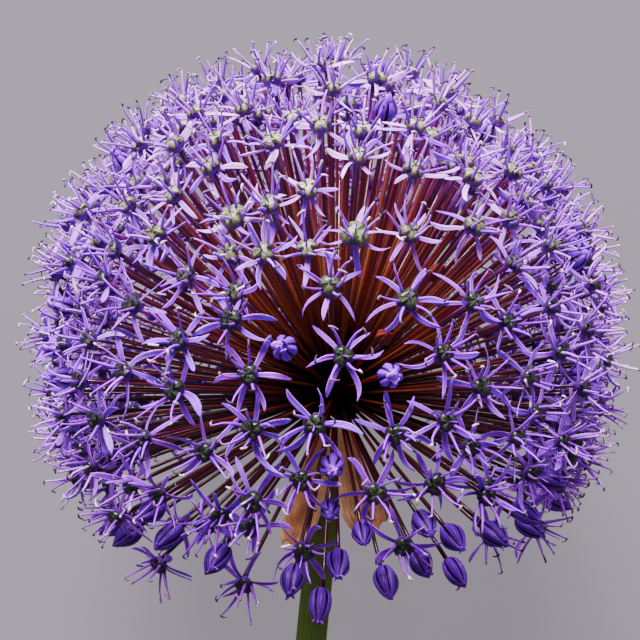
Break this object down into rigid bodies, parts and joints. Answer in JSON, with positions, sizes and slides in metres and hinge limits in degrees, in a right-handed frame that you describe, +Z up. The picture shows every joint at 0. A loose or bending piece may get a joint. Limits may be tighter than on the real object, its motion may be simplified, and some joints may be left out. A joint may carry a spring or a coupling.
{
  "type": "ornamental onion flower head",
  "caption": "Ball-shaped head of violet star florets and buds on thin stalks that radiate from a straight green stem with papery bracts, cut and lying down.",
  "frame": {"origin": "middle of the flower's box in plan, on the table that it lies on", "axes": "+Z up from the table, +Y from the cut end of the stem towards the crown, +X to the right seen from above with the crown away"},
  "size_m": [0.1782, 0.2583, 0.173],
  "materials": {
    "florets": "satin",
    "stem": "satin",
    "bracts": "matte"
  },
  "bodies": {
    "root": {"umbel_crown": "florets", "umbel_skirt": "florets", "scape": "stem", "spathe_bract_left": "bracts", "spathe_bract_right": "bracts"}
  },
  "joints": []
}
